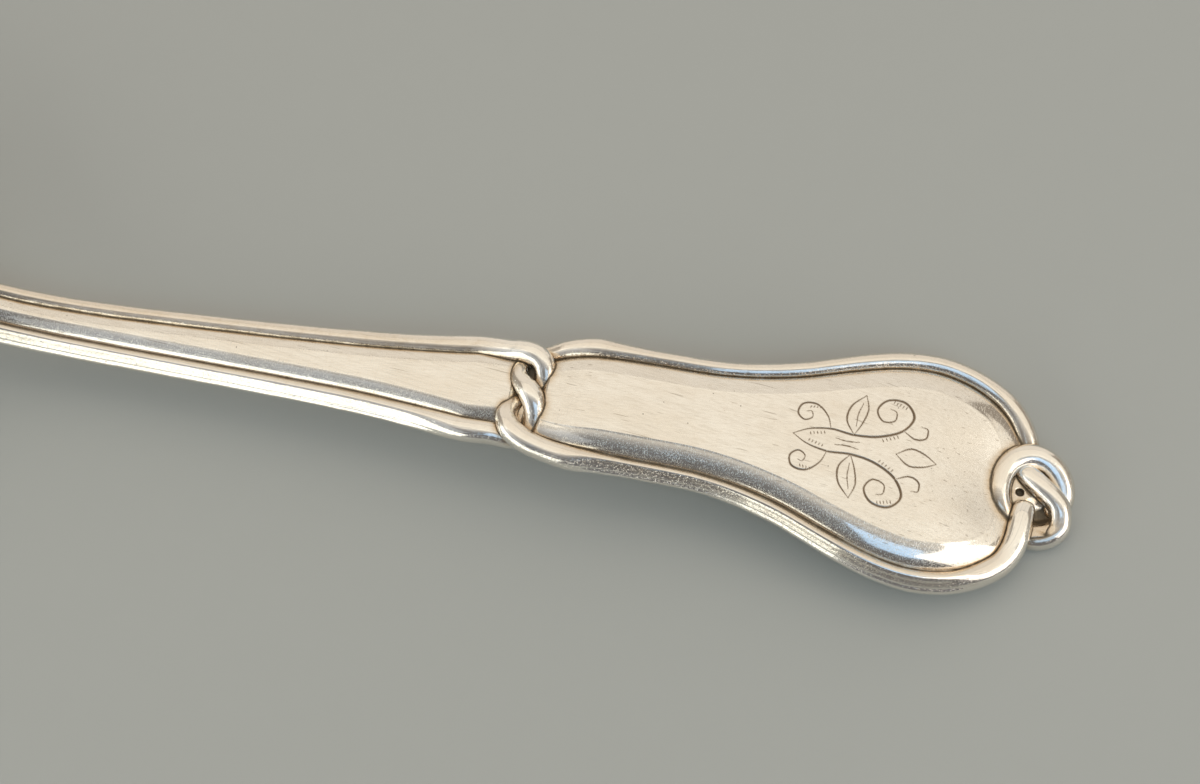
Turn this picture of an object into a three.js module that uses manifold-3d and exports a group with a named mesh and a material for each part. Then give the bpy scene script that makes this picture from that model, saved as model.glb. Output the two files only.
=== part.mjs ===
// Silver sugar sifter spoon. A pierced oval bowl is carried on a stem that is bordered by round wire.
// At the waist the two border wires twist round each other and change sides, and at the tip
// they run into an overhand knot. A stem bar and a terminal plate fill the frame that the wires make.
// Millimetres, +Z up, +X from the bowl to the tip, +Y to the left of the stem seen from the bowl.
// The origin is the middle of the flat under the bowl, on the surface that the spoon rests on.
import * as THREE from "three";
import { mergeVertices } from "three/addons/utils/BufferGeometryUtils.js";
import Module from "manifold-3d";

const wasm = await Module();
wasm.setup();

// Bowl
const BOWL_LENGTH = 54;
const BOWL_WIDTH = 46;
const BOWL_DEPTH = 15.6;
const BOWL_WALL = 1.1;
const BOWL_FLAT = 8.4; // diameter of the flat that it rests on
const RIM_STEEPNESS = 0.8; // share of a quarter turn that the wall's arc makes, as its sine squared

// Piercing: the distance of each ring is measured across the bowl, from its middle
const SEED_HOLE = 1.5;
const SEED_COUNT = 8;
const SEED_RING = 6.4;
const LEAF_LENGTH = 6;
const LEAF_WIDTH = 2.6;
const LEAF_COUNT = 8;
const LEAF_RING = 11;
const BERRY_HOLE = 1.8;
const BERRY_RING = 13;
const BORDER_HOLE = 1.5;
const BORDER_COUNT = 24;
const BORDER_RING = 17;

// Handle, seen from above: lengths between the bowl's rim, the waist crossing and the tip knot
const STEM_LENGTH = 73;
const TERMINAL_LENGTH = 48.7;
const STEM_WIDTH = 6; // over both wires at the narrowest place
const NECK_WIDTH = 13.2; // over both wires behind the waist
const TERMINAL_WIDTH = 23.9; // over both wires at the widest place
const STEM_NARROW_AT = 18; // from the rim
const NECK_AT = 13; // from the waist
const FLARE_AT = 26.5; // from the waist, half way from the neck's width to the full width
const WIDEST_AT = 38.4; // from the waist

// Handle, seen from the side: heights of the wires' middle over the table
const RIM_DROP = 2; // below the bowl's rim, where the stem ends
const SAG_HEIGHT = 7.2;
const SAG_AT = 32; // from the rim
const WAIST_HEIGHT = 8;
const CROWN_HEIGHT = 8.15;
const CROWN_AT = 9; // from the waist
const BEND_HEIGHT = 5.6;
const BEND_AT = 32; // from the waist

// Border wire: diameters, and how deep the oval section is where it meets the bowl
const STEM_WIRE = 1.95;
const STEM_WIRE_DEPTH = 3.5;
const TWIST_WIRE = 1.65;
const NECK_WIRE = 2.1;
const TERMINAL_WIRE = 2.64;
const KNOT_WIRE = 1.6;
const TIP_WEAR = 0.12; // depth of the flat that is worn under the knot

// Bar and plate inside the frame, and the heel under the joint of bowl and stem
const BAR_CROWN = 0.9; // share of the wire's depth that the bar fills in its middle
const BAR_EDGE = 0.45; // and along its grooves
const PLATE_EDGE = 1.0; // thickness along its groove
const PLATE_CROWN = 2.0; // thickness in its middle
const HEEL_LAP = 6.5; // length under the stem
const HEEL_TAIL = 5.5; // length under the bowl
const HEEL_WIDTH = 4.6;
const HEEL_THICKNESS = 1.3;

const CLEARANCE = 0.3; // room for solder between neighbouring pieces

const WIRE_SIDES = 8;
const RINGS_PER_SPAN = 4;
const UP = new THREE.Vector3(0, 0, 1);

// Places along the handle, in the part's frame
const rimX = BOWL_LENGTH / 2;
const waistX = rimX + STEM_LENGTH;
const knotX = waistX + TERMINAL_LENGTH;

// Wire pitches: a wire's diameter and the solder beside it. Crossings are spaced by them.
const twistPitch = TWIST_WIRE + CLEARANCE;
const knotPitch = KNOT_WIRE + CLEARANCE;
const knotHeight = knotPitch / 2 + KNOT_WIRE / 2 - TIP_WEAR;
const waistHalf = 2.2 * twistPitch;

// A smooth function of x through points of [x, value]
function smooth(points) {
  const spline = new THREE.CubicInterpolant(
    points.map((p) => p[0]),
    points.map((p) => p[1]),
    1,
  );
  return (x) => spline.evaluate(x)[0];
}

// Height of the handle's middle plane over the table, and how much longer than level it runs there
const rimHeight = BOWL_DEPTH - RIM_DROP;
const heightAt = smooth([
  [rimX, rimHeight],
  [rimX + 0.28 * SAG_AT, SAG_HEIGHT + 0.56 * (rimHeight - SAG_HEIGHT)],
  [rimX + 0.58 * SAG_AT, SAG_HEIGHT + 0.12 * (rimHeight - SAG_HEIGHT)],
  [rimX + SAG_AT, SAG_HEIGHT],
  [waistX, WAIST_HEIGHT],
  [waistX + CROWN_AT, CROWN_HEIGHT],
  [waistX + BEND_AT, BEND_HEIGHT],
  [knotX, knotHeight],
  [knotX + 2 * knotPitch, knotHeight - 0.45 * knotPitch],
]);

const slant = (at, x) => Math.hypot(1, (at(x + 0.1) - at(x - 0.1)) / 0.2);

// Half of the distance between the middles of the two wires, along the stem and along the terminal
const stemHalfNarrow = (STEM_WIDTH - STEM_WIRE) / 2;
const stemHalf = smooth([
  [rimX - 4, stemHalfNarrow],
  [rimX + STEM_NARROW_AT, stemHalfNarrow],
  [waistX - 0.55 * STEM_LENGTH, 0.86 * stemHalfNarrow + 0.14 * waistHalf],
  [waistX - 0.24 * STEM_LENGTH, 0.48 * stemHalfNarrow + 0.52 * waistHalf],
  [waistX - 3 * twistPitch, waistHalf],
]);
const neckHalf = (NECK_WIDTH - NECK_WIRE) / 2;
const widestHalf = (TERMINAL_WIDTH - TERMINAL_WIRE) / 2;
const terminalHalf = smooth([
  [waistX + 2.8 * twistPitch, neckHalf],
  [waistX + NECK_AT, neckHalf],
  [waistX + FLARE_AT, (2 * neckHalf + widestHalf) / 3],
  [waistX + WIDEST_AT, widestHalf],
  [knotX - 2.15 * knotPitch, 0.85 * widestHalf],
  [knotX - 1.25 * knotPitch, 0.65 * widestHalf],
]);

// A wire's width and depth along the handle
const wireWidth = smooth([
  [rimX, STEM_WIRE],
  [waistX - 4 * twistPitch, STEM_WIRE],
  [waistX - 2 * twistPitch, TWIST_WIRE],
  [waistX + 2 * twistPitch, TWIST_WIRE],
  [waistX + NECK_AT, NECK_WIRE],
  [waistX + WIDEST_AT, TERMINAL_WIRE],
  [knotX - 2.2 * knotPitch, TERMINAL_WIRE],
  [knotX - 0.6 * knotPitch, KNOT_WIRE],
]);
const extraDepth = smooth([
  [rimX, STEM_WIRE_DEPTH - STEM_WIRE],
  [rimX + 0.5 * STEM_LENGTH, 0.25 * (STEM_WIRE_DEPTH - STEM_WIRE)],
  [waistX - 4 * twistPitch, 0],
  [waistX, 0],
]);
const wireDepth = (x) => wireWidth(x) + extraDepth(x);

// Closed mesh over rings of as many points each, with flat ends
function loft(rings) {
  const count = rings[0].length;
  const positions = rings.flat().flatMap((p) => [p.x, p.y, p.z]);
  const faces = [];
  for (let i = 0; i + 1 < rings.length; i++) {
    for (let j = 0; j < count; j++) {
      const a = i * count + j;
      const b = i * count + ((j + 1) % count);
      faces.push(a, b, a + count, b, b + count, a + count);
    }
  }
  const last = (rings.length - 1) * count;
  for (let j = 1; j + 1 < count; j++) {
    faces.push(0, j + 1, j, last, last + j, last + j + 1);
  }
  const geometry = new THREE.BufferGeometry();
  geometry.setAttribute("position", new THREE.Float32BufferAttribute(positions, 3));
  geometry.setIndex(faces);
  return geometry;
}

// Solids for cutting, made from closed geometries, and back again
function solid(geometry) {
  const bare = new THREE.BufferGeometry();
  bare.setAttribute("position", geometry.getAttribute("position"));
  bare.setIndex(geometry.index);
  const merged = mergeVertices(bare, 1e-4);
  return new wasm.Manifold(
    new wasm.Mesh({
      numProp: 3,
      vertProperties: merged.getAttribute("position").array,
      triVerts: new Uint32Array(merged.index.array),
    }),
  );
}

function cut(geometry, cutters) {
  const rest = cutters.reduce((left, cutter) => left.subtract(solid(cutter)), solid(geometry));
  const mesh = rest.getMesh();
  const result = new THREE.BufferGeometry();
  result.setAttribute("position", new THREE.Float32BufferAttribute(mesh.vertProperties, 3));
  result.setIndex(Array.from(mesh.triVerts));
  return result;
}

// Bowl: height of its outside at a share of the way from the middle to the rim
function bowlHeight(share) {
  const flat = BOWL_FLAT / BOWL_WIDTH;
  const u = Math.max(0, (share - flat) / (1 - flat));
  return (BOWL_DEPTH * (1 - Math.sqrt(1 - RIM_STEEPNESS * u * u))) / (1 - Math.sqrt(1 - RIM_STEEPNESS));
}

// Outline of half of the bowl's wall, moved out by grow, as [radius, height] from the middle to the rim
function bowlOutline(grow) {
  const flat = BOWL_FLAT / BOWL_WIDTH;
  const steps = 9;
  const points = [new THREE.Vector2(0, -grow)];
  for (let i = 0; i <= steps; i++) {
    const share = flat + ((1 - flat) * i) / steps;
    const rise = (bowlHeight(share) - bowlHeight(share - 0.001)) / (0.0005 * BOWL_WIDTH);
    const slope = i < steps ? Math.atan(rise) : Math.PI / 2;
    const radius = (share * BOWL_WIDTH) / 2 + grow * Math.sin(slope);
    points.push(new THREE.Vector2(radius, bowlHeight(share) - grow * Math.cos(slope)));
  }
  return points;
}

// Turns an outline round the bowl's middle and draws it out to the bowl's length
function turnBowl(outline) {
  const segments = 48;
  const geometry = new THREE.LatheGeometry(outline, segments);
  geometry.rotateX(Math.PI / 2);
  geometry.scale(BOWL_LENGTH / BOWL_WIDTH, 1, 1);
  return geometry;
}

// A leaf with pointed ends, to be pushed through the wall
function leafCutter(depth) {
  const tip = LEAF_LENGTH / 2;
  const leaf = new THREE.Shape();
  leaf.moveTo(-tip, 0);
  leaf.quadraticCurveTo(0, -LEAF_WIDTH, tip, 0);
  leaf.quadraticCurveTo(0, LEAF_WIDTH, -tip, 0);
  const geometry = new THREE.ExtrudeGeometry(leaf, { depth, bevelEnabled: false, curveSegments: 5 });
  return geometry.translate(0, 0, -depth / 2);
}

function holeCutter(diameter, depth) {
  return new THREE.CylinderGeometry(diameter / 2, diameter / 2, depth, 10).rotateX(Math.PI / 2);
}

// Sets a cutter square to the bowl's wall, with its own X pointing to the rim
function placeOnWall(cutter, ring, angle) {
  const at = (r) =>
    new THREE.Vector3(
      (r * Math.cos(angle) * BOWL_LENGTH) / BOWL_WIDTH,
      r * Math.sin(angle),
      bowlHeight((2 * r) / BOWL_WIDTH) + BOWL_WALL / 2,
    );
  const outward = at(ring + 0.1).sub(at(ring - 0.1)).normalize();
  const across = new THREE.Vector3().crossVectors(UP, outward).normalize();
  const normal = new THREE.Vector3().crossVectors(outward, across);
  const matrix = new THREE.Matrix4().makeBasis(outward, across, normal).setPosition(at(ring));
  return cutter.applyMatrix4(matrix);
}

function ringOfCutters(count, ring, turned, make) {
  return Array.from({ length: count }, (_, i) =>
    placeOnWall(make(), ring, ((i + turned) * 2 * Math.PI) / count),
  );
}

function bowl() {
  const outside = bowlOutline(0);
  const inside = bowlOutline(-BOWL_WALL);
  const wall = turnBowl([...outside, ...inside.reverse()]);
  const through = 4 * BOWL_WALL;
  return cut(wall, [
    ...ringOfCutters(SEED_COUNT, SEED_RING, 0.5, () => holeCutter(SEED_HOLE, through)),
    ...ringOfCutters(LEAF_COUNT, LEAF_RING, 0, () => leafCutter(through)),
    ...ringOfCutters(LEAF_COUNT, BERRY_RING, 0.5, () => holeCutter(BERRY_HOLE, through)),
    ...ringOfCutters(BORDER_COUNT, BORDER_RING, 0.5, () => holeCutter(BORDER_HOLE, through)),
  ]);
}

// The space that the bowl takes up, with room for solder round it
function bowlSeat() {
  const outline = bowlOutline(CLEARANCE);
  const rim = outline.at(-1);
  return turnBowl([...outline, new THREE.Vector2(rim.x, 2 * BOWL_DEPTH), new THREE.Vector2(0, 2 * BOWL_DEPTH)]);
}

// A round or oval wire through stations of { x, y, lift }, where lift is its height over the middle plane
function wire(stations, widthAt, depthAt) {
  const middles = stations.map((s) => new THREE.Vector3(s.x, s.y, heightAt(s.x) + s.lift));
  const curve = new THREE.CatmullRomCurve3(middles, false, "centripetal");
  const count = (stations.length - 1) * RINGS_PER_SPAN;
  const rings = [];
  for (let i = 0; i <= count; i++) {
    const middle = curve.getPoint(i / count);
    const along = curve.getTangent(i / count);
    const across = new THREE.Vector3().crossVectors(UP, along).normalize();
    const over = new THREE.Vector3().crossVectors(along, across);
    const ring = [];
    for (let j = 0; j < WIRE_SIDES; j++) {
      const angle = ((j + 0.5) * 2 * Math.PI) / WIRE_SIDES;
      ring.push(
        middle
          .clone()
          .addScaledVector(across, (Math.cos(angle) * widthAt(middle.x)) / 2)
          .addScaledVector(over, (Math.sin(angle) * depthAt(middle.x)) / 2),
      );
    }
    rings.push(ring);
  }
  return loft(rings);
}

// Stations of a wire's stem run, its twist and its terminal run. side is +1 for the wire that starts
// on the left of the stem: it goes over, under and over the other one and ends on the right.
function borderRoute(side) {
  const over = (side * twistPitch) / 2;
  const stations = [];
  const add = (x, y, lift) => stations.push({ x, y: side * y, lift });
  const stemSpans = 9;
  const stemStart = rimX - 4;
  const stemEnd = waistX - 3 * twistPitch;
  for (let i = 0; i <= stemSpans; i++) {
    const x = stemStart + ((stemEnd - stemStart) * i) / stemSpans;
    add(x, stemHalf(x), 0);
  }
  const twist = [
    [-1.5, 2.26, 0.4],
    [0, 2.1, 1],
    [0.85, 1, 0],
    [0, 0, -1],
    [-0.85, -1, 0],
    [0, -2.25, 1],
    [1.4, -2.75, 0.4],
  ];
  for (const [ahead, aside, lift] of twist) {
    add(waistX + ahead * twistPitch, aside * twistPitch, lift * over);
  }
  const terminalSpans = 8;
  const terminalStart = waistX + 2.8 * twistPitch;
  const terminalEnd = knotX - 2.15 * knotPitch;
  for (let i = 0; i <= terminalSpans; i++) {
    const x = terminalStart + ((terminalEnd - terminalStart) * i) / terminalSpans;
    add(x, -terminalHalf(x), 0);
  }
  return stations;
}

// Ends of the two border wires at the knot, and the knot's own loop, in knot pitches from its middle.
// The right-hand end runs over the loop into the knot's eye, and the left-hand end runs under the loop.
const RIGHT_END = [
  [-1.3, -3.9, 0.3],
  [-0.72, -3.1, 0.8],
  [-0.5, -2.2, 1],
  [-0.36, -1.3, 0.6],
  [-0.07, -0.54, -0.3],
];
const LEFT_END = [
  [-1.3, 4.3, -0.3],
  [-0.62, 3.6, -0.8],
  [-0.28, 2.72, -1],
];
const KNOT_LOOP = [
  [0.08, -0.4, -0.5],
  [0.5, -0.2, -0.9],
  [1, -0.05, -1],
  [1.66, 0.28, -0.6],
  [1.63, 0.85, 0],
  [1.25, 1.48, 0.6],
  [0.6, 2, 0.9],
  [-0.25, 2.2, 1],
  [-1.05, 1.87, 0.7],
  [-1.65, 1.1, 0.3],
  [-1.84, 0.2, 0],
  [-1.68, -0.68, -0.4],
  [-1.22, -1.5, -0.9],
  [-0.45, -2.15, -1],
  [0.42, -2.28, -0.6],
  [1.08, -2, 0],
  [1.55, -1.5, 0.4],
  [1.65, -0.88, 0.8],
  [1.34, -0.36, 1],
  [0.95, 0.05, 1],
  [0.5, 0.55, 0.85],
  [0.1, 1.05, 0.2],
  [-0.12, 1.6, -0.6],
  [-0.25, 2.2, -1],
  [-0.28, 2.55, -1],
];
function knotStations(points) {
  return points.map(([ahead, aside, lift]) => ({
    x: knotX + ahead * knotPitch,
    y: aside * knotPitch,
    lift: (lift * knotPitch) / 2,
  }));
}

// The space under the table, which wears a flat on what touches it
function tableSpace() {
  const size = 4 * KNOT_WIRE;
  return new THREE.BoxGeometry(4 * size, 4 * size, size).translate(knotX, 0, -size / 2);
}

function borderWire(side) {
  const end = side > 0 ? RIGHT_END : LEFT_END;
  const route = [...borderRoute(side), ...knotStations(end)];
  return cut(wire(route, wireWidth, wireDepth), [bowlSeat(), tableSpace()]);
}

function tipKnot() {
  const width = () => KNOT_WIRE;
  return cut(wire(knotStations(KNOT_LOOP), width, width), [tableSpace()]);
}

// A bar or plate whose top and bottom are crowned between two grooves
function crowned(stations, halfAt, edgeAt, crownAt, fullness) {
  const shares = [-1, -0.9, -0.75, -0.5, 0, 0.5, 0.75, 0.9, 1];
  const rings = stations.map((x) => {
    const half = halfAt(x);
    const top = shares.map((share) => {
      const rise = edgeAt(x) + (crownAt(x) - edgeAt(x)) * (1 - Math.abs(share) ** fullness);
      return { y: share * half, z: rise / 2 };
    });
    const bottom = top.map((p) => ({ y: p.y, z: -p.z }));
    return [...bottom, ...top.reverse()].map((p) => new THREE.Vector3(x, p.y, heightAt(x) + p.z));
  });
  return loft(rings);
}

function stationsBetween(start, end, spans) {
  return Array.from({ length: spans + 1 }, (_, i) => start + ((end - start) * i) / spans);
}

function stemBar() {
  const stations = stationsBetween(rimX - 4, waistX - 1.55 * twistPitch, 18);
  const half = (x) => stemHalf(x) - wireWidth(x) / 2 - CLEARANCE;
  const edge = (x) => BAR_EDGE * wireDepth(x);
  const crown = (x) => BAR_CROWN * wireDepth(x);
  return cut(crowned(stations, half, edge, crown, 2.4), [bowlSeat()]);
}

// The plate's edge keeps clear of the wire square to the wire, so the gap across grows where it slopes
function terminalPlate() {
  const start = waistX + 1.5 * twistPitch;
  const end = knotX - 1.3 * knotPitch;
  const half = (x) => terminalHalf(x) - (wireWidth(x) / 2 + CLEARANCE) * slant(terminalHalf, x);
  const plate = crowned(
    stationsBetween(start, end, 22),
    half,
    () => PLATE_EDGE,
    () => PLATE_CROWN,
    4,
  );
  const loopReach = 2.85 * knotPitch;
  const notch = new THREE.CylinderGeometry(loopReach, loopReach, 4 * PLATE_CROWN + 2 * KNOT_WIRE, 24)
    .rotateX(Math.PI / 2)
    .translate(knotX + 0.3 * knotPitch, 0, heightAt(knotX));
  return cut(plate, [notch]);
}

// Heel: a drop that laps under the stem and under the bowl's wall and holds the two together
function heel() {
  const under = (x) => heightAt(x) - (wireDepth(x) / 2 + CLEARANCE) * slant(heightAt, x);
  const start = rimX - HEEL_TAIL;
  const end = rimX + HEEL_LAP;
  const wallHeight = bowlHeight((2 * start) / BOWL_LENGTH);
  const bottomAt = smooth([
    [start, wallHeight - CLEARANCE - 0.6 * HEEL_THICKNESS],
    [rimX, under(rimX) - 1.6 * HEEL_THICKNESS],
    [rimX + 0.5 * HEEL_LAP, under(rimX + 0.5 * HEEL_LAP) - HEEL_THICKNESS],
    [end, under(end) - 0.5 * HEEL_THICKNESS],
  ]);
  const halfAt = smooth([
    [start, 0.25 * HEEL_WIDTH],
    [rimX, 0.5 * HEEL_WIDTH],
    [end - 0.25 * HEEL_LAP, 0.45 * HEEL_WIDTH],
    [end, 0.2 * HEEL_WIDTH],
  ]);
  const rings = stationsBetween(start, end, 12).map((x) => {
    const top = under(Math.max(x, rimX));
    const ring = [];
    const sides = 8;
    for (let j = 0; j <= sides; j++) {
      const angle = Math.PI * (1 + j / sides);
      const drop = (top - bottomAt(x)) * Math.sin(angle);
      ring.push(new THREE.Vector3(x, halfAt(x) * Math.cos(angle), top + drop));
    }
    return ring;
  });
  return cut(loft(rings), [bowlSeat()]);
}

// Assembly
const silver = new THREE.MeshStandardMaterial({ color: 0xd8d0c2, roughness: 0.22, metalness: 1 });
const satinSilver = new THREE.MeshStandardMaterial({ color: 0xd6ccba, roughness: 0.38, metalness: 1 });
const giltSilver = new THREE.MeshStandardMaterial({ color: 0xd9cdb2, roughness: 0.26, metalness: 1 });

const spoon = new THREE.Group();
function addPiece(name, geometry, material) {
  const mesh = new THREE.Mesh(geometry, material);
  mesh.name = name;
  spoon.add(mesh);
}
addPiece("bowl", bowl(), giltSilver);
addPiece("heel_drop", heel(), silver);
addPiece("stem_bar", stemBar(), satinSilver);
addPiece("border_wire_left", borderWire(1), silver);
addPiece("border_wire_right", borderWire(-1), silver);
addPiece("terminal_plate", terminalPlate(), satinSilver);
addPiece("tip_knot", tipKnot(), silver);

export default spoon;
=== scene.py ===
import math

import bpy
import numpy as np
from mathutils import Matrix, Vector, geometry, kdtree
from mathutils.bvhtree import BVHTree


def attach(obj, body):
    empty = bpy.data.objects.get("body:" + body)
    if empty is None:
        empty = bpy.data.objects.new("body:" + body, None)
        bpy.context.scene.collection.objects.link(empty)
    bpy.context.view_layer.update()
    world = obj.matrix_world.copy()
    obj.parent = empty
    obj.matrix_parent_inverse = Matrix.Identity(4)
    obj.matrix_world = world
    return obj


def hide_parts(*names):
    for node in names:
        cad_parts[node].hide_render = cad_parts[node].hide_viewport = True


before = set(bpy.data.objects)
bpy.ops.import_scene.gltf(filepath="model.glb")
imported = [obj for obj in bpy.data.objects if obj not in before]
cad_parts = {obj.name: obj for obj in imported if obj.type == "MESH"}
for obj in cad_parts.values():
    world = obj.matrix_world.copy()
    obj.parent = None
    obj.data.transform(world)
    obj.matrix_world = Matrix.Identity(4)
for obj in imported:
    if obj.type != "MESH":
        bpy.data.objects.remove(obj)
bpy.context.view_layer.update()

MM = 0.001


# Camera. It looks down on the handle from the right of the tip, turned so that the stem
# leaves the picture on the left, as in the photograph, which is 1200 by 784 pixels.
CAMERA_PLACE = (147.0, -68.9, 175.3)
CAMERA_RIGHT = (0.9656, 0.2193, -0.1396)
CAMERA_UP = (-0.1444, 0.8991, 0.4132)
FOCAL_PIXELS = 1921
PHOTO_WIDTH = 1200
SENSOR_WIDTH = 36

camera_right = Vector(CAMERA_RIGHT).normalized()
camera_back = camera_right.cross(Vector(CAMERA_UP)).normalized()
camera_axes = Matrix((camera_right, camera_back.cross(camera_right), camera_back)).transposed()
camera_data = bpy.data.cameras.new("camera")
camera_data.sensor_fit = "HORIZONTAL"
camera_data.sensor_width = SENSOR_WIDTH
camera_data.lens = SENSOR_WIDTH * FOCAL_PIXELS / PHOTO_WIDTH
camera_data.clip_start = 0.01
camera = bpy.data.objects.new("camera", camera_data)
camera.matrix_world = Matrix.Translation(Vector(CAMERA_PLACE) * MM) @ camera_axes.to_4x4()
bpy.context.scene.collection.objects.link(camera)
bpy.context.scene.camera = camera


# Table and light. The spoon lies on a plain pale table. Wide warm softboxes hang over and behind it,
# windows light it from both sides, a blue one among them, and the room in front stays dimmer.
class Shade:
    """A socket of a node tree. Sums, differences, products and quotients of shades add Math nodes."""

    def __init__(self, nodes, socket=None):
        self.nodes = nodes
        self.socket = socket

    def node(self, kind, settings=None, sockets=None, output=0):
        """A new node: its settings are set first, then the values or links of its sockets."""
        made = self.nodes.new(kind)
        for name, value in (settings or {}).items():
            if name == "stops":
                while len(made.color_ramp.elements) < len(value):
                    made.color_ramp.elements.new(1)
                for element, (place, colour) in zip(made.color_ramp.elements, value):
                    element.position = place
                    element.color = colour
            else:
                setattr(made, name, value)
        for name, value in (sockets or {}).items():
            if isinstance(value, Shade):
                self.nodes.id_data.links.new(value.socket, made.inputs[name])
            else:
                made.inputs[name].default_value = value
        return Shade(self.nodes, made.outputs[output] if len(made.outputs) else None)

    def math(self, operation, first, second):
        return self.node("ShaderNodeMath", {"operation": operation}, {0: first, 1: second})

    def __add__(self, other):
        return self.math("ADD", self, other)

    def __radd__(self, other):
        return self.math("ADD", other, self)

    def __sub__(self, other):
        return self.math("SUBTRACT", self, other)

    def __rsub__(self, other):
        return self.math("SUBTRACT", other, self)

    def __mul__(self, other):
        return self.math("MULTIPLY", self, other)

    def __rmul__(self, other):
        return self.math("MULTIPLY", other, self)

    def __truediv__(self, other):
        return self.math("DIVIDE", self, other)

    def clamped(self):
        return self.node("ShaderNodeClamp", None, {"Value": self})

    def between(self, low, high):
        """0 where this is under low, 1 where it is over high, with a soft step."""
        settings = {"interpolation_type": "SMOOTHSTEP"}
        sockets = {"Value": self, "From Min": low, "From Max": high}
        return self.node("ShaderNodeMapRange", settings, sockets)

    def tint(self, under, over):
        """A colour that goes from under to over as this goes from 0 to 1."""
        sockets = {"Factor": self, 6: under, 7: over}
        return self.node("ShaderNodeMix", {"data_type": "RGBA"}, sockets, output=2)


def new_material(name):
    """A new material with its surface shader and a shade to start its nodes from."""
    material = bpy.data.materials.new(name)
    material.use_nodes = True
    nodes = material.node_tree.nodes
    nodes.clear()
    shader = nodes.new("ShaderNodeBsdfPrincipled")
    output = nodes.new("ShaderNodeOutputMaterial")
    material.node_tree.links.new(shader.outputs["BSDF"], output.inputs["Surface"])
    return material, shader, Shade(nodes)


def dress(shader, **sockets):
    """Sets or links the surface shader's sockets, whose names have _ for a space."""
    for name, value in sockets.items():
        socket = shader.inputs[name.replace("_", " ")]
        if isinstance(value, Shade):
            shader.id_data.links.new(value.socket, socket)
        else:
            socket.default_value = value


TABLE_COLOUR = (0.412, 0.41, 0.39, 1)
TABLE_SIZE = 4000
TABLE_GRAIN = 900.0  # speckles in a metre
TABLE_SPECKLE = 0.985  # share of the colour that is left in the darker speckles
TABLE_ROUGHNESS = 0.55

table_material, table_shader, shade = new_material("pale_table")
grain = shade.node("ShaderNodeTexNoise", None, {"Scale": TABLE_GRAIN, "Detail": 2.0})
speckle_colour = (*(TABLE_SPECKLE * c for c in TABLE_COLOUR[:3]), 1)
table_colour = grain.tint(speckle_colour, TABLE_COLOUR)
dress(table_shader, Base_Color=table_colour, Roughness=TABLE_ROUGHNESS)
table_mesh = bpy.data.meshes.new("table")
half_table = TABLE_SIZE * MM / 2
table_corners = [(x, y, 0) for x, y in ((-1, -1), (1, -1), (1, 1), (-1, 1))]
table_mesh.from_pydata([Vector(c) * half_table for c in table_corners], [], [(0, 1, 2, 3)])
table_mesh.materials.append(table_material)
table = bpy.data.objects.new("table", table_mesh)
bpy.context.scene.collection.objects.link(table)


def softbox(name, place, target, size, power, colour):
    """A rectangular light at place, turned to target. Places and sizes are in millimetres."""
    light = bpy.data.lights.new(name, "AREA")
    light.shape = "RECTANGLE"
    light.size, light.size_y = (side * MM for side in size)
    light.energy = power
    light.color = colour
    lamp = bpy.data.objects.new(name, light)
    lamp.location = Vector(place) * MM
    lamp.rotation_euler = (Vector(target) - Vector(place)).to_track_quat("-Z", "Y").to_euler()
    bpy.context.scene.collection.objects.link(lamp)


WARM_WHITE = (1.0, 0.96, 0.89)
CREAM = (1.0, 0.95, 0.835)
PALE_CREAM = (1.0, 0.955, 0.86)
DAY_WHITE = (0.95, 0.98, 0.90)
PALE_BLUE = (0.86, 0.93, 1.0)
SKY_BLUE = (0.44, 0.68, 1.0)
PANE_BLUE = (0.30, 0.95, 1.0)
ROOM_COLOURS = [
    # from the front of the room, over the zenith, to its back
    (0.0, (0.165, 0.165, 0.17, 1)),
    (0.20, (0.175, 0.175, 0.18, 1)),
    (0.30, (0.23, 0.23, 0.23, 1)),
    (0.38, (0.34, 0.335, 0.33, 1)),
    (0.43, (0.47, 0.46, 0.44, 1)),
    (0.47, (0.64, 0.615, 0.57, 1)),
    (0.50, (0.68, 0.65, 0.59, 1)),
    (0.57, (0.42, 0.39, 0.34, 1)),
    (0.70, (0.34, 0.30, 0.255, 1)),
]

softbox("softbox_overhead", (350, 312, 736), (350, 0, 0), (2100, 610), 2.42, CREAM)
softbox("softbox_behind", (-100, 736, 305), (-100, 0, 0), (1600, 660), 1.6, PALE_CREAM)
softbox("window_right", (385, -385, 700), (385, 0, 0), (470, 420), 0.58, SKY_BLUE)
softbox("window_pane", (385, -385, 700), (385, 0, 0), (470, 150), 0.46, PANE_BLUE)
softbox("window_far_right", (687, -180, 365), (120, 0, 0), (560, 490), 1.4, WARM_WHITE)
softbox("window_left", (-433, -427, 230), (75, 0, 8), (980, 455), 2.22, DAY_WHITE)
softbox("sky_left", (-348, -237, 511), (75, 0, 8), (740, 400), 0.25, PALE_BLUE)

world = bpy.data.worlds.new("room")
world.use_nodes = True
world.node_tree.nodes.clear()
shade = Shade(world.node_tree.nodes)
heading = shade.node("ShaderNodeTexCoord")
facing = shade.node("ShaderNodeVectorMath", {"operation": "DOT_PRODUCT"}, {0: heading, 1: (0, 1, 0)}, 1)
room_colour = shade.node("ShaderNodeValToRGB", {"stops": ROOM_COLOURS}, {"Fac": 0.5 * facing + 0.5})
background = shade.node("ShaderNodeBackground", None, {"Color": room_colour, "Strength": 1.0})
shade.node("ShaderNodeOutputWorld", None, {"Surface": background})
bpy.context.scene.world = world
bpy.context.scene.view_settings.view_transform = "Standard"


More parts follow.
